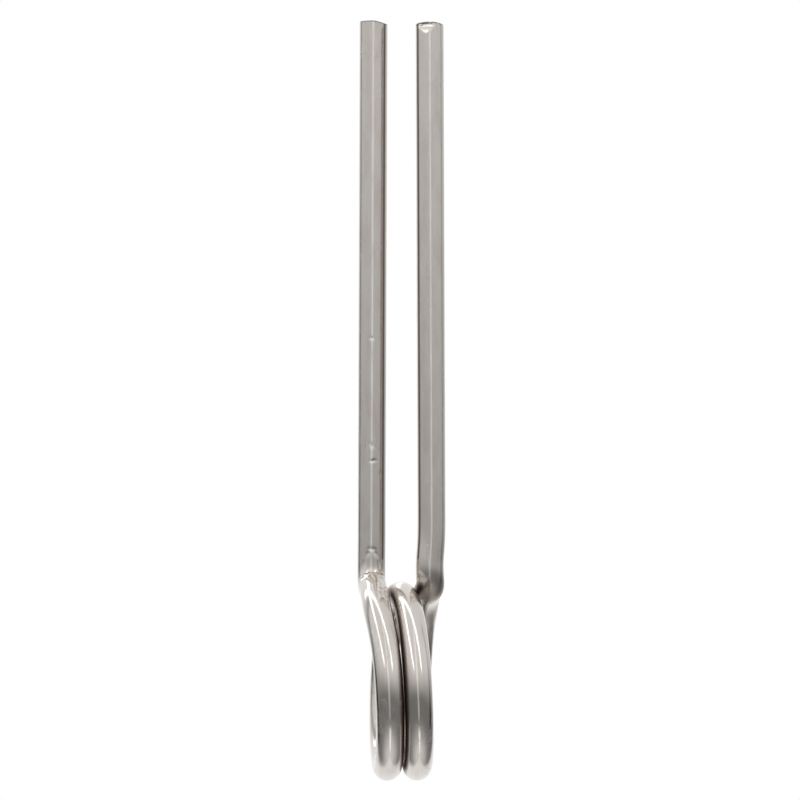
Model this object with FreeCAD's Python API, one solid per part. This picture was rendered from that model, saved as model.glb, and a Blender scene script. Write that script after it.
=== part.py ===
"""Two-pronged needle bent from one length of round stainless wire.

Two straight legs stand side by side. Each ends in a tight elbow, and between the elbows
the wire is wound twice round, which makes a coil that lets the legs swing and spring back.

Frame: X lies along the coil's axis, from the left leg to the right one, +Y points to the
back, and +Z runs up the legs. The origin is the middle of the coil, on its axis.
Half a turn about Z carries the left half of the wire onto the right half.

The wire's line is straight runs joined by tangent arcs, so it is given by its corners.
"""

import FreeCAD, Part
import math
import os

# Wire and coil, mm
WIRE_DIAMETER = 3.0
COIL_MEAN_DIAMETER = 18.28
TURN_GAP = 0.2  # clear space between neighbouring turns, along the coil's axis
CROSSING_SWING = 0.72  # sideways swing of the wire over the top, beyond an even pitch
END_SPREAD = 0.19  # extra sideways set of each end turn, where it climbs to its elbow
END_LIFT = 0.56  # how far the end turn rises off the coil's circle before its elbow

# Legs and elbows, mm
LEG_REACH = 70.75  # from the coil's axis to the cut ends
ELBOW_GAP = 0.2  # clear space between the crossing and each elbow, along the coil's axis
TIP_SPACING = 5.94  # between the legs' middles, at the cut ends
LEG_SET = 0.95  # the left leg stands this far behind the coil's axis, and the right leg before it
ELBOW_RADIUS = 2.2  # to the middle of the wire
ELBOW_CLEAR = 0.68  # the elbow's corner stands this far above the top of the coil's centreline
TIP_CHAMFER = 0.12  # broken edge of a cut end

# Layout of the corners
FULL_TURN = 360.0
CORNER_STEP = 45.0  # degrees between the coil's corners
ARC_SHARE = 0.96  # share of each half run that an arc may use
ROOT_RUN = 1.0  # straight wire that belongs to an elbow, above its arc

WIRE_RADIUS = WIRE_DIAMETER / 2
COIL_RADIUS = COIL_MEAN_DIAMETER / 2
TURN_PITCH = WIRE_DIAMETER + TURN_GAP
ROOT_SPACING = 2 * (WIRE_DIAMETER + ELBOW_GAP)  # between the legs' middles, at the elbows
CORNERS_PER_HALF = int(FULL_TURN / CORNER_STEP)
CROSSING_CORNERS = CORNERS_PER_HALF // 4

Vector = FreeCAD.Vector


def coil_corner(number):
    """Corner of the coil's line, counted from the top of the crossing to the right elbow."""
    degrees = CORNER_STEP * (number + 0.5)
    angle = math.radians(degrees)
    outward = 1 / math.cos(math.radians(CORNER_STEP / 2))
    past_half = max(degrees / FULL_TURN - 0.5, 0.0) * 2
    spread = END_SPREAD * math.sin(angle) ** 2 if past_half else 0.0
    across = TURN_PITCH * degrees / FULL_TURN + CROSSING_SWING * math.sin(angle) + spread
    radius = (COIL_RADIUS + END_LIFT * past_half**3) * outward
    return Vector(across, -radius * math.sin(angle), radius * math.cos(angle))


def mirrored(point):
    """The same point on the left half of the wire."""
    return Vector(-point.x, -point.y, point.z)


def middle(start, end):
    return (start + end) * 0.5


def bend_edges(before, corner, after, radius=None):
    """A straight run, a tangent arc and a straight run, from `before` to `after`."""
    inward, outward = before - corner, after - corner
    half_angle = inward.getAngle(outward) / 2
    if radius:
        reach = radius / math.tan(half_angle)
    else:
        reach = ARC_SHARE * min(inward.Length, outward.Length)
    start = corner + inward.normalize() * reach
    end = corner + outward.normalize() * reach
    bisector = (inward + outward).normalize()
    distance = reach / math.cos(half_angle)
    top = corner + bisector * (distance - reach * math.tan(half_angle))
    arc = Part.Arc(start, top, end).toShape()
    return [("line", before, start), ("arc", arc, None), ("line", end, after)]


def joined(bends):
    """One wire of several bends, with the straight runs between two arcs made one run."""
    edges, run_start, run_end = [], None, None
    for kind, first, second in bends:
        if kind == "arc":
            edges += [Part.LineSegment(run_start, run_end).toShape(), first]
            run_start = None
        else:
            run_start, run_end = run_start or first, second
    return Part.Wire(edges + [Part.LineSegment(run_start, run_end).toShape()])


def round_wire(bends):
    """Round wire along several bends."""
    line = joined(bends)
    start = bends[0][1]
    section = Part.Circle(start, bends[0][2] - start, WIRE_RADIUS).toShape()
    return line.makePipe(Part.Face(Part.Wire(section)))


def coil_bends(corners, numbers):
    """The bends at some of the corners, each from the middle of one run to the middle of the next."""
    bends = []
    for number in numbers:
        before = middle(corners[number - 1], corners[number])
        after = middle(corners[number], corners[number + 1])
        bends += bend_edges(before, corners[number], after)
    return bends


def other_side(shape):
    """The same piece on the left half of the wire."""
    turned = shape.copy()
    turned.rotate(Vector(0, 0, 0), Vector(0, 0, 1), 180)
    return turned


def main():
    os.makedirs("parts", exist_ok=True)
    right = [coil_corner(number) for number in range(CORNERS_PER_HALF)]
    elbow_corner = Vector(ROOT_SPACING / 2, -LEG_SET, COIL_RADIUS + ELBOW_CLEAR)
    tip = Vector(TIP_SPACING / 2, -LEG_SET, LEG_REACH)
    up_leg = (tip - elbow_corner).normalize()
    root = elbow_corner + up_leg * (ELBOW_RADIUS + ROOT_RUN)
    corners = [mirrored(corner) for corner in reversed(right)] + right + [elbow_corner]
    first_right = CORNERS_PER_HALF
    after_crossing = first_right + CROSSING_CORNERS

    crossing = coil_bends(corners, range(first_right - CROSSING_CORNERS, after_crossing))
    turn = coil_bends(corners, range(after_crossing, len(corners) - 1))
    elbow = bend_edges(middle(right[-1], elbow_corner), elbow_corner, root, ELBOW_RADIUS)

    leg = Part.makeCylinder(WIRE_RADIUS, (tip - root).Length, root, up_leg)
    rim = [edge for edge in leg.Edges if edge.Closed and edge.CenterOfMass.isEqual(tip, TIP_CHAMFER)]
    halves = {
        "turn": round_wire(turn),
        "elbow": round_wire(elbow),
        "leg": leg.makeChamfer(TIP_CHAMFER, rim),
    }
    solids = {"crossing": round_wire(crossing)}
    for name, shape in halves.items():
        solids["right_" + name] = shape
        solids["left_" + name] = other_side(shape)
    for name, shape in solids.items():
        shape.exportStep("parts/" + name + ".step")


main()
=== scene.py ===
"""Looks for the two-pronged needle bent from one length of round stainless wire.

The wire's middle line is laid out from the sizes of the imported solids. Three pieces follow it: the two
legs and the coil between them. Lengths are millimetres until a mesh is made, and metres from there on.
"""

import logging
import math
from dataclasses import dataclass, field
from enum import Enum
from functools import cache

import bpy
import numpy as np
from bpy.types import Material, Mesh, Node, NodeTree, Object
from bpy.types import NodeSocket as Socket
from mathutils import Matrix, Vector

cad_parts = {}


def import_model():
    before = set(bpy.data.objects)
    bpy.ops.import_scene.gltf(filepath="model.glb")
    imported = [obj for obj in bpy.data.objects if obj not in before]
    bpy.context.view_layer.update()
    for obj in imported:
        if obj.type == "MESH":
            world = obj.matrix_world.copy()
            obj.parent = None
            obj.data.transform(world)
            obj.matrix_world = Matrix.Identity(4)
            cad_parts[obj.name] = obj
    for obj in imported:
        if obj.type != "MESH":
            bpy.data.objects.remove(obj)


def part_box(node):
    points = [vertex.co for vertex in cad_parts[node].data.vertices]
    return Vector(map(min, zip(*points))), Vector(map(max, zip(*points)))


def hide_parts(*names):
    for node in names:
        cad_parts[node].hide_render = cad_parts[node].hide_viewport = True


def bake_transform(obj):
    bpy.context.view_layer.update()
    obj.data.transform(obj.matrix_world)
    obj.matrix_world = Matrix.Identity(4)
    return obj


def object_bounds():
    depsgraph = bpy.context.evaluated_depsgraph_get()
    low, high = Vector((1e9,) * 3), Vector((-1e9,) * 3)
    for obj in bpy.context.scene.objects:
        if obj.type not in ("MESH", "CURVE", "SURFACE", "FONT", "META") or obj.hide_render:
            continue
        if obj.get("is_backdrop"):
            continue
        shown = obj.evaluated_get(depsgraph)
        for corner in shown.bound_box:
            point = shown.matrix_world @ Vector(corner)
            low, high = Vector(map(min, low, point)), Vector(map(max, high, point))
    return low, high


LOG = logging.getLogger("wire_needle")
MM = 0.001

# Values that the meshes carry on their points for the finishes
PLACE = "straight_place"
POLISH = "polish"
# Painted shade: how dark the wire is painted where another stretch comes near, along the legs' inner sides
# and round the right elbow
PAINTED_SHADE = "painted_shade"

END_LEAN = 0.006  # mm, from the lowest edge of a leg's lower face up to its middle
SOFT_WIDTHS = 3  # reach of the softening, in its own widths
LEAST_RUN = 1e-6  # mm, the shortest run that gets points
CUT_SHARES = (0.86, 0.68, 0.5, 0.32, 0.14)  # rings of a cut face, in shares of its radius
SEAM_SHARES = (0.66, 0.33)  # rings of a face inside the wire
BATCH = 4000  # points measured at once
FLOOR_GAP = 0.05  # mm, between the coil and the floor

Pair = tuple[float, float]
Triple = tuple[float, float, float]
Array = np.ndarray


class Side(Enum):
    """Which half of the wire a piece is on, as the sign of its X."""

    LEFT = -1
    RIGHT = 1


class CutStyle(Enum):
    """How a wire end was cut."""

    SLANTED = "slanted"
    RIDGED = "ridged"


def smooth(value: Array, low: float, high: float) -> Array:
    """Smooth step of the values, from 0 at low to 1 at high."""
    share = np.clip((value - low) / (high - low), 0.0, 1.0)
    return share * share * (3.0 - 2.0 * share)


def walked_to(points: Array) -> Array:
    """Distance along a line to each of its points."""
    lengths = np.linalg.norm(np.diff(points, axis=0), axis=1)
    return np.concatenate([[0.0], np.cumsum(lengths)])


def read_at(at: Array, known: Array, vectors: Array) -> Array:
    """Vectors known at some places, read at others."""
    return np.column_stack([np.interp(at, known, vectors[:, axis]) for axis in range(3)])


# ---- The wire's middle line


@dataclass
class WireLine:
    """The middle line of the whole wire, from the left cut end to the right one."""

    radius: float
    coil_radius: float
    leg_y: float
    root_x: float
    tip_x: float
    tip_z: float
    seam_z: float
    pitch: float = 3.2
    crossing_swing: float = 0.72
    # Sideways sets of the left and the right half: first half turn, second, climb, foot of the leg
    near_sets: Pair = (0.06, -0.12)
    far_sets: Pair = (-0.07, 0.42)
    climb_sets: Pair = (0.24, 0.08)
    root_tucks: Pair = (-0.04, -0.27)
    climb_from: float = 0.75
    climb_ease: float = 1.6
    tuck_z: float = 12.3
    tuck_reach: float = 2.2
    tuck_coil_points: int = 60
    end_lift: float = 0.8
    elbow_radius: float = 2.2
    elbow_turn: float = 355.0
    straight_above: float = 4.0
    close_above: float = 12.0
    coil_step: float = 0.5
    arc_points: int = 70
    run_points: int = 60
    leg_points: int = 40
    step: float = 0.05
    softness: float = 0.45
    points: Array = field(init=False)
    stations: Array = field(init=False)

    @classmethod
    def from_frame(cls) -> "WireLine":
        """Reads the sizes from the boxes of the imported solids.

        Returns:
            The line of the wire that the solids are made of.
        """
        low, high = (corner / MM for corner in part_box("right_leg"))
        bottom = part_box("right_turn")[0].z / MM
        radius = (high.y - low.y) / 2
        return cls(
            radius=radius,
            coil_radius=-bottom - radius,
            leg_y=(low.y + high.y) / 2,
            root_x=high.x - radius,
            tip_x=low.x + radius,
            tip_z=high.z,
            seam_z=low.z + END_LEAN,
        )

    def __post_init__(self) -> None:
        """Lays out both halves and joins them at the top of the crossing."""
        right = self.half(1)
        left = self.half(0)[:0:-1] * (-1.0, -1.0, 1.0)
        joined = self.soften(np.vstack([left, right]))
        along = walked_to(joined)
        self.points, self.stations = joined, along - along[-1] / 2

    def half(self, which: int) -> Array:
        """One half of the line, from the top of the crossing to a cut end, laid out to the right.

        Args:
            which: 0 for the left half's sets, 1 for the right half's.

        Returns:
            Points about one step apart.
        """
        coil = self.coil_points(which)
        elbow = self.elbow_points(coil[-1], coil[-1] - coil[-2])
        close = elbow[-1, 2] + np.linspace(0.0, self.close_above, self.leg_points)[1:]
        leg = [self.leg_point(height) for height in (*close, self.tip_z)]
        rough = np.vstack([coil, elbow, leg])
        tuck = self.root_tucks[which] * np.exp(-(((rough[:, 2] - self.tuck_z) / self.tuck_reach) ** 2))
        rough[:, 0] += np.where(np.arange(len(rough)) > len(coil) - self.tuck_coil_points, tuck, 0.0)
        along = walked_to(rough)
        return read_at(np.linspace(0.0, along[-1], int(along[-1] / self.step)), along, rough)

    def coil_points(self, which: int) -> Array:
        """The part of a half that winds round the coil's axis.

        Args:
            which: 0 for the left half's sets, 1 for the right half's.

        Returns:
            Points one coil step apart.
        """
        turned = np.radians(np.arange(0.0, self.elbow_turn + self.coil_step / 2, self.coil_step))
        share = turned / (2 * math.pi)
        past_half = np.clip(share - 0.5, 0.0, None) * 2
        sets = np.where(share > 0.5, self.far_sets[which], self.near_sets[which])
        climbed = (share - self.climb_from) / (self.elbow_turn / 360.0 - self.climb_from)
        climbed = np.clip(climbed, 0.0, 1.0) ** self.climb_ease
        spread = sets * np.sin(turned) ** 2 + self.climb_sets[which] * np.sin(math.pi * climbed) ** 2
        across = self.pitch * share + self.crossing_swing * np.sin(turned) + spread
        reach = self.coil_radius + self.end_lift * past_half**3
        return np.column_stack([across, -reach * np.sin(turned), reach * np.cos(turned)])

    def elbow_points(self, start: Array, heading: Array) -> Array:
        """The elbow's arc and the first of the leg, up to where the leg is straight.

        Args:
            start: the last point of the coil.
            heading: the way the line runs there.

        Returns:
            Points after the start.
        """
        rise = math.atan2(heading[2], -heading[1])
        swept = np.linspace(0.0, math.pi / 2 - rise, self.arc_points)[1:]
        centre_y = start[1] + self.elbow_radius * math.sin(rise)
        centre_z = start[2] + self.elbow_radius * math.cos(rise)
        arc_y = centre_y - self.elbow_radius * np.sin(rise + swept)
        arc_z = centre_z - self.elbow_radius * np.cos(rise + swept)
        climb = np.linspace(0.0, self.straight_above, self.run_points)[1:]
        run_y = arc_y[-1] + (self.leg_y - arc_y[-1]) * smooth(climb, 0.0, self.straight_above)
        depth = np.concatenate([arc_y, run_y])
        height = np.concatenate([arc_z, arc_z[-1] + climb])
        walked = np.concatenate([self.elbow_radius * swept, self.elbow_radius * swept[-1] + climb])
        total = walked[-1]
        end = self.leg_point(height[-1])
        lean = (self.tip_x - self.root_x) / (self.tip_z - self.seam_z)
        slope = heading[0] / float(np.linalg.norm(heading))
        share = walked / total
        # A cubic that leaves the coil and meets the leg at their own slopes
        across = (
            (2 * share**3 - 3 * share**2 + 1) * start[0]
            + (share**3 - 2 * share**2 + share) * slope * total
            + (3 * share**2 - 2 * share**3) * end[0]
            + (share**3 - share**2) * lean * total
        )
        return np.column_stack([across, depth, height])

    def leg_point(self, height: float) -> Array:
        """The leg's middle at a height above the coil's axis."""
        share = (height - self.seam_z) / (self.tip_z - self.seam_z)
        return np.array([self.root_x + (self.tip_x - self.root_x) * share, self.leg_y, height])

    def soften(self, points: Array) -> Array:
        """Evens out the change of bend where two parts of the line meet.

        Args:
            points: the line, one step apart.

        Returns:
            The line with its ends kept.
        """
        reach = int(SOFT_WIDTHS * self.softness / self.step)
        offsets = np.arange(-reach, reach + 1) * self.step
        weights = np.exp(-0.5 * (offsets / self.softness) ** 2)
        weights /= weights.sum()
        before = 2 * points[0] - points[reach:0:-1]
        after = 2 * points[-1] - points[-2 : -reach - 2 : -1]
        padded = np.vstack([before, points, after])
        return np.column_stack([np.convolve(padded[:, axis], weights, mode="valid") for axis in range(3)])

    def seam_station(self, side: Side) -> float:
        """The station where a leg starts.

        Args:
            side: which leg.

        Returns:
            The distance along the wire from its middle, below 0 on the left.
        """
        half = self.stations > 0 if side is Side.RIGHT else self.stations < 0
        stations, heights = self.stations[half], self.points[half, 2]
        above = heights >= self.seam_z
        return float(stations[above].min() if side is Side.RIGHT else stations[above].max())

    def leg_station(self, side: Side, height: float) -> float:
        """The station at a height above the coil's axis, on the straight part of a leg."""
        return self.seam_station(side) + side.value * (height - self.seam_z)

    def stretch(
        self, first: float, last: float, step: float, fine: Pair, fine_step: float
    ) -> tuple[Array, Array]:
        """Points of the line between two stations.

        Args:
            first: station of the first point.
            last: station of the last point.
            step: rough distance between points.
            fine: the stations between which points stand closer.
            fine_step: rough distance between points there.

        Returns:
            The stations, and their points.
        """
        marks = [first, *(np.clip(fine, first, last)), last]
        runs = []
        for start, end, gap in zip(marks[:-1], marks[1:], (step, fine_step, step)):
            if end - start > LEAST_RUN:
                parts = max(int(round((end - start) / gap)), 1)
                runs.append(np.linspace(start, end, parts + 1)[:-1])
        at = np.concatenate([*runs, [last]])
        return at, read_at(at, self.stations, self.points)

    def headings(self, at: Array) -> Array:
        """Unit headings of the line at some stations."""
        found = read_at(at, self.stations, np.gradient(self.points, self.stations, axis=0))
        return found / np.linalg.norm(found, axis=1)[:, None]


# ---- Round wire as a mesh


@dataclass(frozen=True)
class Dent:
    """A pressed or scraped place on the wire, by its station and its angle round the wire."""

    station: float
    angle: float
    half_length: float
    half_width: float
    depth: float
    slant: float = 0.0

    def press(self, at: Array, around: Array) -> Array:
        """How deep the dent is at each point of the wire's surface.

        Args:
            at: stations.
            around: distances round the wire from the dent's angle.

        Returns:
            Depths in millimetres.
        """
        along = at - self.station
        lean = math.radians(self.slant)
        down = along * math.cos(lean) + around * math.sin(lean)
        over = around * math.cos(lean) - along * math.sin(lean)
        far = (down / self.half_length) ** 2 + (over / self.half_width) ** 2
        return self.depth * np.exp(-far)


@dataclass(frozen=True)
class PaintedShadeStreak:
    """Painted shade: a dark line that runs along the wire at one angle, where a leg faces the other leg.
    """

    angle: float
    half_width: float
    strength: float

    def darken(self, places: Array) -> Array:
        """How dark the streak is at each straightened place, up to its strength.

        Args:
            places: straightened places on the wire.

        Returns:
            One value for each place.
        """
        turned = np.degrees(np.arctan2(places[:, 1], places[:, 0])) - self.angle
        off = (turned + 180.0) % 360.0 - 180.0
        return self.strength * np.exp(-((off / self.half_width) ** 2))


@dataclass(frozen=True)
class PaintedShadeBand:
    """Painted shade: a brown band that goes round the wire."""

    station: float
    half_length: float
    strength: float

    def darken(self, places: Array) -> Array:
        """How dark the band is at each straightened place, up to its strength."""
        return self.strength * np.exp(-(((places[:, 2] - self.station) / self.half_length) ** 2))


@dataclass(frozen=True)
class Facet:
    """A flat that a tool left: everything beyond its plane is pressed onto it."""

    point: Triple
    normal: Triple
    reach: float

    def press(self, points: Array) -> Array:
        """Presses points onto the plane where they are near it.

        Args:
            points: positions in millimetres.

        Returns:
            The pressed positions.
        """
        way = np.array(self.normal) / np.linalg.norm(self.normal)
        offset = points - np.array(self.point)
        beyond = np.clip(offset @ way, 0.0, None)
        near = np.linalg.norm(offset, axis=-1) < self.reach
        return points - (beyond * near)[..., None] * way


@dataclass
class RoundWire:
    """A stretch of round wire as a closed mesh, with its ends and its marks."""

    line: WireLine
    first: float
    last: float
    step: float
    fine: Pair
    painted_shades: tuple[PaintedShadeStreak | PaintedShadeBand, ...]
    dents: tuple[Dent, ...]
    facets: tuple[Facet, ...] = ()
    fine_step: float = 0.1
    segments: int = 64
    rim: float = 0.1
    cut_fade: Pair = (-1.4, -0.05)
    dull_left: Pair = (-4.5, 0.5)
    dull_right: Pair = (-11.0, -4.0)
    # Spacing, own stretch, fade and far value of the painted shade where another stretch of wire comes
    # near
    sample_gap: float = 0.4
    own_reach: float = 12.0
    painted_shade_reach: float = 1.5
    far_off: float = 9.0

    def build(self, name: str, cut: CutStyle | None = None, cut_side: Side = Side.RIGHT) -> Object:
        """Makes the stretch's object.

        Args:
            name: the piece's name.
            cut: how the wire's own end is cut, where the stretch has one.
            cut_side: at which end of the stretch that is.

        Returns:
            The new object, in metres.
        """
        at, middles = self.line.stretch(self.first, self.last, self.step, self.fine, self.fine_step)
        heads = self.line.headings(at)
        side = np.array([1.0, 0.0, 0.0]) - heads[:, :1] * heads
        side /= np.linalg.norm(side, axis=1)[:, None]
        out = np.cross(heads, side)
        angles = np.arange(self.segments) * 2 * math.pi / self.segments
        reach = self.line.radius - self.pressed(at, angles)
        outward, sideways = np.cos(angles), np.sin(angles)
        ways = outward[None, :, None] * out[:, None, :] + sideways[None, :, None] * side[:, None, :]
        rings = middles[:, None, :] + reach[..., None] * ways
        spots = (self.line.radius * outward, self.line.radius * sideways, at[:, None])
        places = np.stack([np.broadcast_to(spot, reach.shape) for spot in spots], axis=-1)
        for facet in self.facets:
            rings = facet.press(rings)
        is_cut = tuple(cut is not None and cut_side is end for end in Side)
        rings, places = self.close(rings, places, middles, is_cut)
        if cut is not None:
            rings = self.shape_cut(rings, cut, cut_side)
        return self.as_object(name, rings, places, is_cut)

    def pressed(self, at: Array, angles: Array) -> Array:
        """Depth of all dents over the wire's surface.

        Args:
            at: stations of the rings.
            angles: angles of the rings' points.

        Returns:
            One depth for each point.
        """
        depth = np.zeros((len(at), len(angles)))
        for dent in self.dents:
            turned = angles - math.radians(dent.angle)
            around = (turned + math.pi) % (2 * math.pi) - math.pi
            depth += dent.press(at[:, None], around[None, :] * self.line.radius)
        return depth

    def close(
        self, rings: Array, places: Array, middles: Array, is_cut: tuple[bool, ...]
    ) -> tuple[Array, Array]:
        """Adds the rings of both end faces, with a broken edge at a cut end.

        Args:
            rings: the wire's rings.
            places: their straightened places.
            middles: the rings' middles.
            is_cut: whether the first and the last end are cut ends of the wire.

        Returns:
            All rings and places, from one end face's middle to the other's.
        """
        heads = self.line.headings(np.array([self.first, self.last]))
        faces, face_places = [], []
        for end, way, own in zip((0, -1), (heads[0], -heads[1]), is_cut):
            inset = way * self.rim if own else 0.0
            rings[end] += inset
            shares = (1 - self.rim / self.line.radius, *CUT_SHARES) if own else SEAM_SHARES
            face = np.array([middles[end] + (rings[end] - middles[end]) * share for share in shares])
            faces.append(face - inset)
            face_places.append(np.array([places[end] * (share, share, 1.0) for share in shares]))
        return (
            np.concatenate([faces[0][::-1], rings, faces[1]]),
            np.concatenate([face_places[0][::-1], places, face_places[1]]),
        )

    def shape_cut(self, rings: Array, cut: CutStyle, side: Side) -> Array:
        """Bends the cut face out of square, as the cutter left it.

        Args:
            rings: all rings of the stretch.
            cut: how the end was cut.
            side: the leg the end is on.

        Returns:
            The rings with the last of the wire shortened where the cut dips.
        """
        top = self.line.tip_z
        across = (rings[..., 0] - side.value * self.line.tip_x) / self.line.radius
        deep = (rings[..., 1] - side.value * self.line.leg_y) / self.line.radius
        if cut is CutStyle.SLANTED:
            slant, drag = smooth(across, -0.1, 1.05), smooth(-deep, -0.4, 1.0)
            dip = 0.3 * slant + 0.05 * drag
        else:
            ridge, drag = np.abs(across + 0.12) ** 1.5, np.abs(deep)
            dip = 0.3 + 0.22 * ridge + 0.03 * drag
        moved = rings.copy()
        moved[..., 2] -= dip * smooth(rings[..., 2], top + self.cut_fade[0], top + self.cut_fade[1])
        return moved

    def as_object(self, name: str, rings: Array, places: Array, is_cut: tuple[bool, ...]) -> Object:
        """Joins rings into a closed mesh with sharp rims.

        Args:
            name: the piece's name.
            rings: rings from one end face to the other.
            places: straightened places of the same points.
            is_cut: whether the first and the last end are cut ends of the wire.

        Returns:
            The object, linked to the scene.
        """
        count, around = rings.shape[:2]
        verts = np.vstack([rings.reshape(-1, 3), rings[0].mean(0), rings[-1].mean(0)]) * MM
        spots = np.vstack([places.reshape(-1, 3), places[0].mean(0), places[-1].mean(0)])
        last_row, total = (count - 1) * around, count * around
        ring = np.arange(around)
        onward = (ring + 1) % around
        faces: list[tuple[int, ...]] = []
        for low in range(0, last_row, around):
            high = low + around
            faces += list(zip(low + ring, low + onward, high + onward, high + ring))
        faces += list(zip(ring, [total] * around, onward))
        faces += list(zip(last_row + ring, last_row + onward, [total + 1] * around))
        mesh = bpy.data.meshes.new(name)
        mesh.from_pydata(verts.tolist(), [], [tuple(map(int, face)) for face in faces])
        mesh.validate()
        # Painted shade: darker where another stretch of the wire comes near, and along the painted streaks
        # and bands
        dark = self.nearness(verts / MM, spots[:, 2])
        for streak in self.painted_shades:
            dark = np.maximum(dark, streak.darken(spots))
        attribute = mesh.attributes.new(PLACE, "FLOAT_VECTOR", "POINT")
        attribute.data.foreach_set("vector", spots.astype(np.float32).ravel())
        for key, values in {POLISH: self.burnish(spots[:, 2]), PAINTED_SHADE: dark}.items():
            attribute = mesh.attributes.new(key, "FLOAT", "POINT")
            attribute.data.foreach_set("value", values.astype(np.float32))
        start_rows, end_rows = (1 + len(CUT_SHARES) if own else len(SEAM_SHARES) for own in is_cut)
        end_rows = count - 1 - end_rows
        finish = np.zeros(len(mesh.polygons), dtype=np.int32)
        # The broken edge round a cut end takes the dark cut finish too: painted shade, a dark line along
        # the tip's rim
        if is_cut[0]:
            finish[: start_rows * around] = finish[last_row:total] = 1
        if is_cut[1]:
            finish[end_rows * around : last_row] = finish[total:] = 1
        mesh.polygons.foreach_set("material_index", finish)
        mesh.polygons.foreach_set("use_smooth", np.ones(len(mesh.polygons), dtype=bool))
        self.sharpen(mesh, around, (start_rows, end_rows))
        made = bpy.data.objects.new(name, mesh)
        bpy.context.scene.collection.objects.link(made)
        return made

    def burnish(self, at: Array) -> Array:
        """How much the winding has polished the wire.

        Args:
            at: stations of the points.

        Returns:
            Values from 0 on the legs to 1 on the coil.
        """
        dull = []
        for side, reach in ((Side.RIGHT, self.dull_right), (Side.LEFT, self.dull_left)):
            seam = abs(self.line.seam_station(side))
            dull.append(smooth(side.value * at, seam + reach[0], seam + reach[1]))
        return 1.0 - np.maximum(*dull)

    def nearness(self, points: Array, at: Array) -> Array:
        """How near another stretch of the wire comes, from 0 when it is far to 1 when it touches.

        Args:
            points: the surface's points in millimetres.
            at: their stations.

        Returns:
            One value for each point.
        """
        every = int(self.sample_gap / self.line.step)
        middles, stations = self.line.points[::every], self.line.stations[::every]
        clear = np.full(len(points), self.far_off)
        for start in range(0, len(points), BATCH):
            part = slice(start, start + BATCH)
            far = np.linalg.norm(points[part, None, :] - middles[None, :, :], axis=2) - self.line.radius
            other = np.abs(at[part, None] - stations[None, :]) > self.own_reach
            clear[part] = np.where(other, far, self.far_off).min(axis=1)
        return 1.0 - smooth(clear, 0.0, self.painted_shade_reach)

    def sharpen(self, mesh: Mesh, around: int, rows: tuple[int, int]) -> None:
        """Marks the edges of two rings sharp.

        Args:
            mesh: the stretch's mesh.
            around: points in a ring.
            rows: the numbers of the two rings.
        """
        mesh.update()
        pairs = np.zeros(len(mesh.edges) * 2, dtype=np.int32)
        mesh.edges.foreach_get("vertices", pairs)
        pairs = pairs.reshape(-1, 2) // around
        sharp = (pairs[:, 0] == pairs[:, 1]) & np.isin(pairs[:, 0], rows)
        attribute = mesh.attributes.new("sharp_edge", "BOOLEAN", "EDGE")
        attribute.data.foreach_set("value", sharp)


# ---- Finishes


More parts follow.
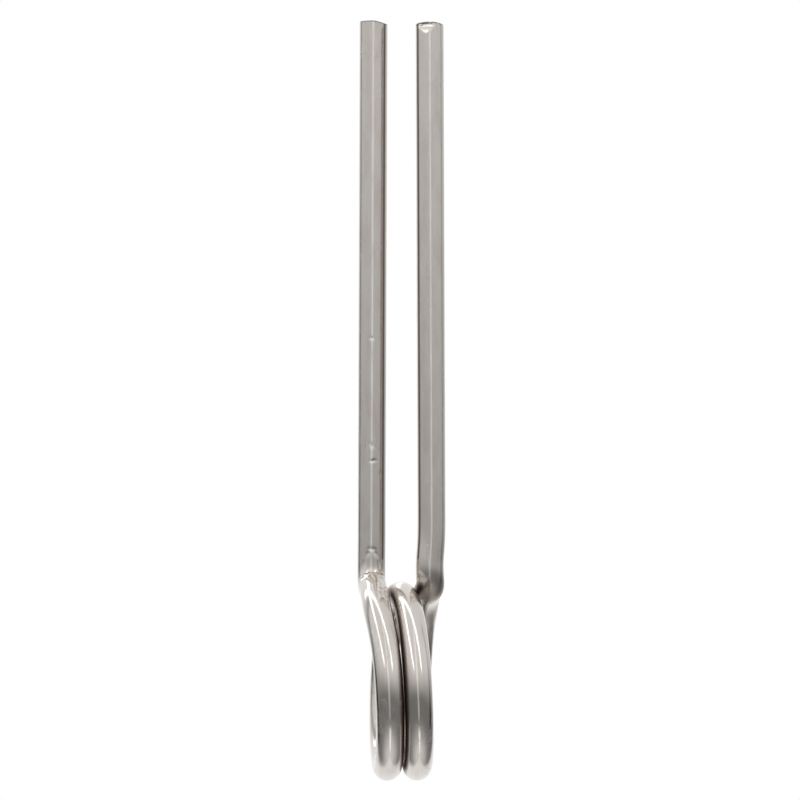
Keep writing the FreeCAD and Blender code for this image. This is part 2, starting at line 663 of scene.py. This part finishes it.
@dataclass
class NodeBench:
    """Short calls that place and join nodes in one node tree."""

    tree: NodeTree

    def add(self, kind: str, **values: object) -> Node:
        """Places a node.

        Args:
            kind: the node's type name.
            values: properties to set on it.

        Returns:
            The node.
        """
        node = self.tree.nodes.new(kind)
        for key, value in values.items():
            setattr(node, key, value)
        return node

    def feed(self, source: object, target: Socket) -> None:
        """Joins a socket to another, or sets a plain value on it.

        Args:
            source: a socket, a number or a tuple.
            target: the input socket.
        """
        if isinstance(source, Socket):
            self.tree.links.new(source, target)
        else:
            target.default_value = source

    def math(self, operation: str, first: object, second: object = 0.0, clamp: bool = False) -> Socket:
        """A Math node on two values.

        Args:
            operation: the Math node's operation.
            first: first value or socket.
            second: second value or socket.
            clamp: keep the result between 0 and 1.

        Returns:
            The result's socket.
        """
        node = self.add("ShaderNodeMath", operation=operation, use_clamp=clamp)
        self.feed(first, node.inputs[0])
        self.feed(second, node.inputs[1])
        return node.outputs[0]

    def remap(self, value: object, source: Pair, target: Pair = (0.0, 1.0), soft: bool = True) -> Socket:
        """A clamped Map Range node.

        Args:
            value: the value or socket to map.
            source: its range.
            target: the range it becomes.
            soft: ease in and out.

        Returns:
            The result's socket.
        """
        node = self.add("ShaderNodeMapRange", interpolation_type="SMOOTHSTEP" if soft else "LINEAR")
        self.feed(value, node.inputs["Value"])
        for name, number in zip(("From Min", "From Max", "To Min", "To Max"), source + target):
            node.inputs[name].default_value = number
        return node.outputs["Result"]

    def noise(self, vector: Socket, scale: object, detail: float, rough: float = 0.5) -> Socket:
        """A Noise Texture's value.

        Args:
            vector: the place it is read at.
            scale: how fine it is.
            detail: its octaves.
            rough: how strong the finer octaves are.

        Returns:
            The value's socket.
        """
        node = self.add("ShaderNodeTexNoise")
        self.feed(vector, node.inputs["Vector"])
        self.feed(scale, node.inputs["Scale"])
        node.inputs["Detail"].default_value = detail
        node.inputs["Roughness"].default_value = rough
        return node.outputs[0]

    def stretched(self, vector: Socket, scale: Triple) -> Socket:
        """A vector scaled by axis.

        Args:
            vector: the vector's socket.
            scale: factors for its three axes.

        Returns:
            The scaled vector's socket.
        """
        node = self.add("ShaderNodeVectorMath", operation="MULTIPLY")
        self.feed(vector, node.inputs[0])
        node.inputs[1].default_value = scale
        return node.outputs[0]

    def mix(self, share: Socket, first: object, second: object) -> Socket:
        """A colour mix.

        Args:
            share: share of the second colour.
            first: first colour.
            second: second colour.

        Returns:
            The mixed colour's socket.
        """
        node = self.add("ShaderNodeMix", data_type="RGBA")
        self.feed(share, node.inputs["Factor"])
        self.feed(first, node.inputs[6])
        self.feed(second, node.inputs[7])
        return node.outputs[2]

    def carried(self, name: str, output: str) -> Socket:
        """A value that the mesh carries on its points."""
        node = self.add("ShaderNodeAttribute", attribute_type="GEOMETRY", attribute_name=name)
        return node.outputs[output]

    def effect(self, tree: NodeTree, place: Socket, amount: float) -> Node:
        """Places a shared effect.

        Args:
            tree: the effect's group.
            place: the straightened place.
            amount: the value of its own number.

        Returns:
            The group's node.
        """
        node = self.add("ShaderNodeGroup", node_tree=tree)
        self.feed(place, node.inputs[0])
        self.feed(amount, node.inputs[1])
        return node

    def raise_surface(self, height: Socket, depth: float, shader: Node) -> None:
        """Gives a shader a relief.

        Args:
            height: the relief's height, from about 0 to 1.
            depth: how many millimetres that stands for.
            shader: the shader.
        """
        bump = self.add("ShaderNodeBump")
        bump.inputs["Distance"].default_value = depth * MM
        self.feed(height, bump.inputs["Height"])
        self.feed(bump.outputs["Normal"], shader.inputs["Normal"])


class SharedEffects:
    """Node groups that several finishes use, each built once."""

    @staticmethod
    def group(name: str, amount: str, outputs: tuple[str, ...]) -> tuple[NodeBench, Socket, Socket, dict]:
        """Starts a node group that takes a place and a number, and gives values.

        Args:
            name: the group's name.
            amount: the number's name.
            outputs: the values' names.

        Returns:
            A bench on the group, its place, its number, and its values by name.
        """
        tree = bpy.data.node_groups.new(name, "ShaderNodeTree")
        tree.interface.new_socket("Place", in_out="INPUT", socket_type="NodeSocketVector")
        tree.interface.new_socket(amount, in_out="INPUT", socket_type="NodeSocketFloat")
        for key in outputs:
            tree.interface.new_socket(key, in_out="OUTPUT", socket_type="NodeSocketFloat")
        bench = NodeBench(tree)
        entry, leave = bench.add("NodeGroupInput"), bench.add("NodeGroupOutput")
        values = {key: leave.inputs[key] for key in outputs}
        return bench, entry.outputs["Place"], entry.outputs[amount], values

    @staticmethod
    @cache
    def drawn_lines() -> NodeTree:
        """Fine lines along the wire, as the drawing die leaves them.

        Returns:
            The group: Place, Fineness in; Height, Lines out.
        """
        bench, place, fineness, leave = SharedEffects.group("drawn_lines", "Fineness", ("Height", "Lines"))
        long, short = (bench.stretched(place, (1.0, 1.0, along)) for along in (0.012, 0.03))
        broad = bench.noise(long, fineness, 3.0, 0.6)
        fine = bench.noise(short, bench.math("MULTIPLY", fineness, 2.6), 2.0, 0.55)
        height = bench.math("ADD", bench.math("MULTIPLY", broad, 0.65), bench.math("MULTIPLY", fine, 0.35))
        bench.feed(height, leave["Height"])
        bench.feed(bench.remap(fine, (0.35, 0.65)), leave["Lines"])
        return bench.tree

    @staticmethod
    @cache
    def handling_marks() -> NodeTree:
        """Small scratches across the wire and tiny pits, from handling and bending.

        Returns:
            The group: Place, Amount in; Height, Marks out.
        """
        bench, place, amount, leave = SharedEffects.group("handling_marks", "Amount", ("Height", "Marks"))
        turned = bench.add("ShaderNodeVectorRotate", rotation_type="EULER_XYZ")
        bench.feed(place, turned.inputs["Vector"])
        turned.inputs["Rotation"].default_value = (0.5, 0.35, 0.8)
        across = bench.noise(bench.stretched(turned.outputs[0], (0.5, 7.0, 5.0)), 0.9, 2.0)
        from_line = bench.math("ABSOLUTE", bench.math("SUBTRACT", across, 0.5))
        thin = bench.remap(from_line, (0.0, 0.012), (1.0, 0.0))
        patchy = bench.remap(bench.noise(place, 0.45, 2.0), (0.52, 0.68))
        scratches = bench.math("MULTIPLY", thin, patchy)
        pits = bench.add("ShaderNodeTexVoronoi", feature="F1")
        bench.feed(place, pits.inputs["Vector"])
        pits.inputs["Scale"].default_value = 1.4
        dots = bench.remap(pits.outputs["Distance"], (0.03, 0.1), (1.0, 0.0))
        rare = bench.remap(bench.noise(place, 1.1, 1.0), (0.56, 0.62))
        marks = bench.math("MAXIMUM", scratches, bench.math("MULTIPLY", dots, rare))
        marks = bench.math("MULTIPLY", marks, amount, clamp=True)
        bench.feed(bench.math("MULTIPLY", marks, -1.0), leave["Height"])
        bench.feed(marks, leave["Marks"])
        return bench.tree

    @staticmethod
    @cache
    def warm_haze() -> NodeTree:
        """Uneven, faintly brown haze that stays on stainless wire after it is rinsed.

        Returns:
            The group: Place, Amount in; Haze out.
        """
        bench, place, amount, leave = SharedEffects.group("warm_haze", "Amount", ("Haze",))
        cloudy = bench.noise(bench.stretched(place, (1.0, 1.0, 0.25)), 0.8, 4.0, 0.6)
        haze = bench.math("MULTIPLY", bench.remap(cloudy, (0.38, 0.7)), amount, clamp=True)
        bench.feed(haze, leave["Haze"])
        return bench.tree


def start_steel(name: str) -> tuple[Material, NodeBench, Node, Socket]:
    """Starts a metal material.

    Args:
        name: the material's name.

    Returns:
        The material, a bench on its nodes, its shader, and the straightened place.
    """
    made = bpy.data.materials.new(name)
    made.use_nodes = True
    bench = NodeBench(made.node_tree)
    shader = made.node_tree.nodes["Principled BSDF"]
    shader.inputs["Metallic"].default_value = 1.0
    return made, bench, shader, bench.carried(PLACE, "Vector")


@dataclass(frozen=True)
class BrightWire:
    """Bright drawn stainless wire."""

    name: str
    colour: Triple
    haze_colour: Triple
    # Colour of the painted shade where wires come near and along the painted streaks and bands
    painted_shade_colour: Triple
    # Roughness on and off the drawn lines, on the legs and where the winding polished it
    satin: Pair
    burnished: Pair
    line_depth: float
    marks: float
    haze: float
    # Strength of the painted shade where wires come near and along the painted streaks and bands
    painted_shade_amount: float = 0.9
    fineness: float = 5.0
    mark_shade: float = 0.72
    mark_depth: float = 2.0
    mark_roughness: float = 0.12
    # Roughness added where the shade is painted
    painted_shade_roughness: float = 0.25

    def material(self) -> Material:
        """Builds the finish.

        Returns:
            The material.
        """
        made, bench, shader, place = start_steel(self.name)
        lines = bench.effect(SharedEffects.drawn_lines(), place, self.fineness).outputs
        marks = bench.effect(SharedEffects.handling_marks(), place, self.marks).outputs
        haze = bench.effect(SharedEffects.warm_haze(), place, self.haze).outputs["Haze"]
        colour = bench.mix(haze, (*self.colour, 1.0), (*self.haze_colour, 1.0))
        scratched = tuple(part * self.mark_shade for part in self.colour)
        colour = bench.mix(marks["Marks"], colour, (*scratched, 1.0))
        # Painted shade: the carried mask mixes a dark brown into the colour where wires come near and in
        # the painted streaks and bands
        painted_shade_amount = bench.math("MULTIPLY", bench.remap(bench.carried(PAINTED_SHADE, "Fac"), (0.3, 1.0)), self.painted_shade_amount)
        bench.feed(bench.mix(painted_shade_amount, colour, (*self.painted_shade_colour, 1.0)), shader.inputs["Base Color"])
        dull = bench.remap(lines["Lines"], (0.0, 1.0), self.satin, soft=False)
        bright = bench.remap(lines["Lines"], (0.0, 1.0), self.burnished, soft=False)
        change = bench.math("MULTIPLY", bench.carried(POLISH, "Fac"), bench.math("SUBTRACT", bright, dull))
        rough = bench.math("ADD", dull, change)
        for mask, added in ((marks["Marks"], self.mark_roughness), (painted_shade_amount, self.painted_shade_roughness)):
            rough = bench.math("ADD", rough, bench.math("MULTIPLY", mask, added))
        bench.feed(rough, shader.inputs["Roughness"])
        scratches = bench.math("MULTIPLY", marks["Height"], self.mark_depth)
        bench.raise_surface(bench.math("ADD", lines["Height"], scratches), self.line_depth, shader)
        return made


@dataclass(frozen=True)
class CutFace:
    """The torn, duller face where the wire was cut. Its dark colour also covers the narrow broken edge
    round the face, where it is painted shade: a dark line along the tip's rim.
    """

    name: str = "sheared_wire_end"
    colour: Triple = (0.2, 0.18, 0.16)
    torn_colour: Triple = (0.1, 0.085, 0.075)
    roughness: Pair = (0.34, 0.58)
    marks: float = 0.6
    ridge_depth: float = 0.03

    def material(self) -> Material:
        """Builds the finish.

        Returns:
            The material.
        """
        made, bench, shader, place = start_steel(self.name)
        ridges = bench.noise(bench.stretched(place, (1.2, 7.0, 1.0)), 1.6, 4.0, 0.65)
        marks = bench.effect(SharedEffects.handling_marks(), place, self.marks).outputs
        torn = bench.remap(ridges, (0.42, 0.62))
        colour = bench.mix(torn, (*self.colour, 1.0), (*self.torn_colour, 1.0))
        bench.feed(colour, shader.inputs["Base Color"])
        bench.feed(bench.remap(ridges, (0.3, 0.7), self.roughness), shader.inputs["Roughness"])
        bench.raise_surface(bench.math("ADD", ridges, marks["Height"]), self.ridge_depth, shader)
        return made


@dataclass
class Finishes:
    """All finishes of the object, built once."""

    wire: Material = field(init=False)
    cut: Material = field(init=False)

    def __post_init__(self) -> None:
        """Builds the materials."""
        self.wire = BrightWire(
            name="bright_drawn_wire",
            colour=(0.665, 0.628, 0.592),
            haze_colour=(0.57, 0.525, 0.48),
            satin=(0.15, 0.24),
            burnished=(0.1, 0.17),
            painted_shade_colour=(0.17, 0.125, 0.095),
            line_depth=0.008,
            marks=0.6,
            haze=0.55,
        ).material()
        self.cut = CutFace().material()


# ---- The object's pieces


@dataclass
class Leg:
    """One prong: the straight wire from an elbow's seam to its cut end."""

    line: WireLine
    side: Side
    cut: CutStyle
    dents: tuple[Dent, ...]
    facets: tuple[Facet, ...]
    painted_shades: tuple[PaintedShadeStreak, ...]
    fine: Pair
    flex_top: float = 27.0
    step: float = 0.3

    def build(self, finishes: Finishes) -> Object:
        """Makes the leg, dresses it and hides the imported leg it stands for.

        Args:
            finishes: the object's finishes.

        Returns:
            The leg's object.
        """
        seam, end = self.line.seam_station(self.side), self.line.stations[-1]
        first, last = (seam, end) if self.side is Side.RIGHT else (-end, seam)
        word = self.side.name.lower()
        wire = RoundWire(
            self.line, first, last, self.step, self.fine, self.painted_shades, self.dents, self.facets
        )
        leg = wire.build(f"{word}_leg_wire", self.cut, self.side)
        leg.data.materials.append(finishes.wire)
        leg.data.materials.append(finishes.cut)
        x, y = self.side.value * self.line.root_x, self.side.value * self.line.leg_y
        start, end = (tuple(Vector((x, y, z)) * MM) for z in (self.line.seam_z, self.flex_top))
        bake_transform(leg)
        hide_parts(f"{word}_leg")
        return leg


@dataclass
class Coil:
    """The two close turns, the crossing between them and both elbows."""

    line: WireLine
    twist_half: float = 1.6
    step: float = 0.24
    fine_step: float = 0.08
    fine_reach: float = 9.5
    # The bending tool's bites, from the left seam on
    bite_angles: Triple = (24.0, 44.0, 64.0)
    bite_rows: int = 6
    bite_start: float = 3.3
    bite_gap: float = 0.95
    bite_shift: float = 0.3
    bite_depth: float = 0.15
    bite_change: float = 0.03
    bite_half: Pair = (0.26, 0.2)

    def dents(self) -> tuple[Dent, ...]:
        """The crease inside the left elbow, and the small bites of the bending tool below it.

        Returns:
            All dents of the coil.
        """
        seam = self.line.seam_station(Side.LEFT)
        crease = Dent(seam + 2.35, 6.0, 0.14, 1.15, 0.15, 4.0)
        below = Dent(seam + 2.75, 18.0, 0.3, 0.6, 0.05)
        left_side = Dent(seam + 0.2, -32.0, 1.1, 0.18, 0.11, -6.0)
        right_side = Dent(seam + 0.2, 30.0, 1.1, 0.17, 0.11, 7.0)
        found = [crease, below, left_side, right_side]
        for row in range(self.bite_rows):
            for column, angle in enumerate(self.bite_angles):
                station = seam + self.bite_start + self.bite_gap * row + self.bite_shift * column
                depth = self.bite_depth + self.bite_change * ((row + column) % 3)
                found.append(Dent(station, angle, *self.bite_half, depth))
        return tuple(found)

    def build(self, finishes: Finishes) -> Object:
        """Makes the coil, dresses it and hides the imported solids it stands for.

        Args:
            finishes: the object's finishes.

        Returns:
            The coil's object.
        """
        first, last = self.line.seam_station(Side.LEFT), self.line.seam_station(Side.RIGHT)
        fine = (first, first + self.fine_reach)
        # Painted shade round the right elbow and along the strand before it
        elbow_painted_shade, strand_painted_shade = PaintedShadeBand(last - 3.2, 2.3, 0.8), PaintedShadeBand(last - 9.2, 3.2, 0.7)
        painted_shade_bands = (elbow_painted_shade, strand_painted_shade)
        wire = RoundWire(
            self.line, first, last, self.step, fine, painted_shade_bands, self.dents(), fine_step=self.fine_step
        )
        coil = wire.build("coil_wire")
        coil.data.materials.append(finishes.wire)
        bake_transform(coil)
        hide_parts("left_elbow", "left_turn", "crossing", "right_turn", "right_elbow")
        return coil


# ---- Studio


@dataclass(frozen=True)
class SoftBox:
    """A bright panel far from the object, by its azimuth and elevation in degrees.

    Azimuth 0 is straight before the object and grows towards +X. A glow below 0 is a dark flag.
    """

    azimuth: float
    half_width: float
    low: float
    high: float
    glow: float
    edge: float


@dataclass(frozen=True)
class TubeLamp:
    """A long straight tube lamp high above, given by the plane that holds it and the object."""

    plane: Triple
    half_width: float
    low: float
    glow: float
    edge: float = 2.5
    fade: float = 5.0


@dataclass
class Studio:
    """Pale floor, soft surround light and the camera."""

    floor_z: float
    panels: tuple[SoftBox, ...] = (
        SoftBox(-4.0, 5.0, -40.0, 80.0, 0.45, 5.0),
        SoftBox(-2.0, 13.0, -95.0, -52.0, 0.7, 6.0),
        SoftBox(-122.0, 8.0, -25.0, 40.0, -0.4, 5.0),
        SoftBox(104.0, 6.0, -25.0, 40.0, -0.3, 5.0),
    )
    lamps: tuple[TubeLamp, ...] = (
        TubeLamp((-0.742, 0.157, -0.653), 3.8, 17.0, 1.6),
        TubeLamp((-0.79, -0.608, -0.078), 3.8, 17.0, 1.6),
    )
    # Degrees over which each light changes, and its brightness at both ends
    sky: tuple[Pair, Pair] = ((-18.0, 17.0), (0.22, 0.88))
    ground: tuple[Pair, Pair] = ((-84.0, -34.0), (0.62, 0.0))
    backdrop: tuple[Pair, Pair] = ((128.0, 150.0), (0.0, 1.0))
    floor_half: float = 1.5
    target: Triple = (-0.17, 0.0, 30.1)
    distance: float = 351.0
    azimuth: float = -2.0
    lens: float = 147.4
    sensor: float = 36.0
    clip: Pair = (0.01, 20.0)

    def build(self) -> None:
        """Sets up the floor, the light and the camera."""
        self.build_floor()
        self.build_light()
        self.build_camera()
        bpy.context.scene.view_settings.view_transform = "Standard"

    def build_floor(self) -> None:
        """A plain white floor just under the coil."""
        mesh = bpy.data.meshes.new("floor")
        signs = ((-1, -1), (1, -1), (1, 1), (-1, 1))
        corners = [(x * self.floor_half, y * self.floor_half, self.floor_z) for x, y in signs]
        mesh.from_pydata(corners, [], [(0, 1, 2, 3)])
        floor = bpy.data.objects.new("floor", mesh)
        bpy.context.scene.collection.objects.link(floor)
        paint = bpy.data.materials.new("white_floor")
        paint.use_nodes = True
        bench = NodeBench(paint.node_tree)
        paint.node_tree.nodes.remove(paint.node_tree.nodes["Principled BSDF"])
        glow = bench.add("ShaderNodeEmission")
        bench.feed(glow.outputs[0], paint.node_tree.nodes["Material Output"].inputs["Surface"])
        mesh.materials.append(paint)
        floor.visible_glossy = floor.visible_diffuse = floor.visible_shadow = False
        floor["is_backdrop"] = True

    def build_light(self) -> None:
        """A surround that is bright above and behind, and dim before and below."""
        world = bpy.data.worlds.new("studio")
        bpy.context.scene.world = world
        world.use_nodes = True
        bench = NodeBench(world.node_tree)
        background = world.node_tree.nodes["Background"]
        way = bench.add("ShaderNodeTexCoord").outputs["Generated"]
        parts = bench.add("ShaderNodeSeparateXYZ")
        bench.feed(way, parts.inputs[0])
        x, y, z = parts.outputs
        height = bench.math("MULTIPLY", bench.math("ARCSINE", z), math.degrees(1.0))
        bearing = bench.math("ARCTAN2", x, bench.math("MULTIPLY", y, -1.0))
        bearing = bench.math("MULTIPLY", bearing, math.degrees(1.0))
        light = bench.math("ADD", bench.remap(height, *self.sky), bench.remap(height, *self.ground))
        behind = bench.remap(bench.math("ABSOLUTE", bearing), *self.backdrop)
        light = bench.math("MAXIMUM", light, behind)
        for panel in self.panels:
            light = bench.math("ADD", light, self.panel_light(bench, bearing, height, panel))
        for lamp in self.lamps:
            light = bench.math("ADD", light, self.lamp_light(bench, way, height, lamp))
        seen = bench.add("ShaderNodeLightPath").outputs["Is Camera Ray"]
        bench.feed(bench.math("MAXIMUM", light, seen), background.inputs["Strength"])
        background.inputs["Color"].default_value = (1.0, 1.0, 1.0, 1.0)

    def panel_light(self, bench: NodeBench, bearing: Socket, height: Socket, panel: SoftBox) -> Socket:
        """The light of one panel, in every direction.

        Args:
            bench: the world's nodes.
            bearing: azimuth in degrees.
            height: elevation in degrees.
            panel: the panel.

        Returns:
            The added brightness.
        """
        off = bench.math("ABSOLUTE", bench.math("SUBTRACT", bearing, panel.azimuth))
        edge = panel.edge
        beside = bench.remap(off, (panel.half_width - edge / 2, panel.half_width + edge / 2), (1.0, 0.0))
        over = bench.remap(height, (panel.low - edge, panel.low + edge))
        under = bench.remap(height, (panel.high - edge, panel.high + edge), (1.0, 0.0))
        inside = bench.math("MULTIPLY", beside, bench.math("MULTIPLY", over, under))
        return bench.math("MULTIPLY", inside, panel.glow)

    def lamp_light(self, bench: NodeBench, way: Socket, height: Socket, lamp: TubeLamp) -> Socket:
        """The light of one tube lamp, in every direction.

        Args:
            bench: the world's nodes.
            way: unit direction.
            height: elevation in degrees.
            lamp: the lamp.

        Returns:
            The added brightness.
        """
        across = bench.add("ShaderNodeVectorMath", operation="DOT_PRODUCT")
        bench.feed(way, across.inputs[0])
        across.inputs[1].default_value = lamp.plane
        off = bench.math("ABSOLUTE", bench.math("ARCSINE", across.outputs["Value"]))
        off = bench.math("MULTIPLY", off, math.degrees(1.0))
        side, edge = lamp.half_width, lamp.edge / 2
        beside = bench.remap(off, (side - edge, side + edge), (1.0, 0.0))
        over = bench.remap(height, (lamp.low - lamp.fade, lamp.low + lamp.fade))
        return bench.math("MULTIPLY", bench.math("MULTIPLY", beside, over), lamp.glow)

    def build_camera(self) -> None:
        """A level camera in front of the object."""
        data = bpy.data.cameras.new("camera")
        data.lens, data.sensor_width = self.lens, self.sensor
        data.clip_start, data.clip_end = self.clip
        camera = bpy.data.objects.new("camera", data)
        bpy.context.scene.collection.objects.link(camera)
        turned = math.radians(self.azimuth)
        back = Vector((math.sin(turned), -math.cos(turned), 0.0))
        camera.location = (Vector(self.target) + back * self.distance) * MM
        camera.rotation_mode = "QUATERNION"
        camera.rotation_quaternion = (-back).to_track_quat("-Z", "Y")
        bpy.context.scene.camera = camera


def left_leg(line: WireLine) -> Leg:
    """The left prong, with four nicks in its lower half and the tool's imprint at its foot.

    Args:
        line: the wire's middle line.

    Returns:
        The leg, ready to build.
    """
    side = Side.LEFT

    # Height on the leg, then the rest of a dent's values
    nicks = (
        (36.7, -4.0, 0.16, 0.13, 0.05, 0.0),
        (25.2, -2.0, 0.3, 0.12, 0.05, 20.0),
        (23.6, 3.0, 0.13, 0.28, 0.06, 12.0),
        (22.3, 42.0, 0.22, 0.14, 0.06, -15.0),
    )
    imprint = (
        (14.15, 0.0, 0.15, 0.32, 0.08, 0.0),
        (13.75, -14.0, 0.4, 0.13, 0.07, -22.0),
        (13.75, 14.0, 0.4, 0.13, 0.07, 22.0),
    )
    dents = tuple(Dent(line.leg_station(side, height), *rest) for height, *rest in nicks + imprint)
    fine_top = 37.5
    fine = (line.leg_station(side, fine_top), line.leg_station(side, line.seam_z))
    # Painted shade along the leg's inner side, where it faces the other leg
    inner_painted_shade = PaintedShadeStreak(51.0, 8.0, 1.2)
    return Leg(line, side, CutStyle.SLANTED, dents, (), (inner_painted_shade,), fine)


def right_leg(line: WireLine) -> Leg:
    """The right prong, with the cutter's bright facets at its end and a fine drawn groove.

    Args:
        line: the wire's middle line.

    Returns:
        The leg, ready to build.
    """
    side, cut_dip, fine_reach = Side.RIGHT, 0.3, 2.5
    bearing = math.radians(20.0)
    across, deep = -math.sin(bearing), -math.cos(bearing)

    def facet(below: float, sunk: float, tilt: float, reach: float) -> Facet:
        """A flat that starts some way below the cut end and leans back towards it.

        Args:
            below: distance under the cut end.
            sunk: how deep it starts under the wire's surface.
            tilt: lean from upright, in degrees.
            reach: size of the pressed place.

        Returns:
            The facet.
        """
        lean, out = math.radians(tilt), line.radius - sunk
        point = (line.tip_x + out * across, line.leg_y + out * deep, line.tip_z - cut_dip - below)
        return Facet(point, (across * math.cos(lean), deep * math.cos(lean), math.sin(lean)), reach)

    groove = Dent(line.leg_station(side, 42.0), 193.0, 60.0, 0.13, 0.012)
    fine = (line.leg_station(side, line.tip_z - fine_reach), line.stations[-1])
    facets = (facet(1.25, 0.0, 14.0, 1.75), facet(0.5, 0.16, 32.0, 0.9))
    # Painted shade along the leg's inner side, where it faces the other leg
    inner_painted_shade = PaintedShadeStreak(242.0, 8.5, 1.2)
    return Leg(line, side, CutStyle.RIDGED, (groove,), facets, (inner_painted_shade,), fine)


def main() -> None:
    """Builds the object and its studio, and reports each piece."""
    logging.basicConfig(level=logging.INFO, format="%(message)s")
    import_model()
    frame_low, frame_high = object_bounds()
    line = WireLine.from_frame()
    LOG.info("wire of %.1f mm, %.0f mm long", 2 * line.radius, 2 * line.stations[-1])
    finishes = Finishes()
    for maker in (left_leg(line), Coil(line), right_leg(line)):
        piece = maker.build(finishes)
        LOG.info("%s: %d faces", piece.name, len(piece.data.polygons))
    Studio(frame_low.z - FLOOR_GAP * MM).build()


if __name__ == "__main__":
    main()
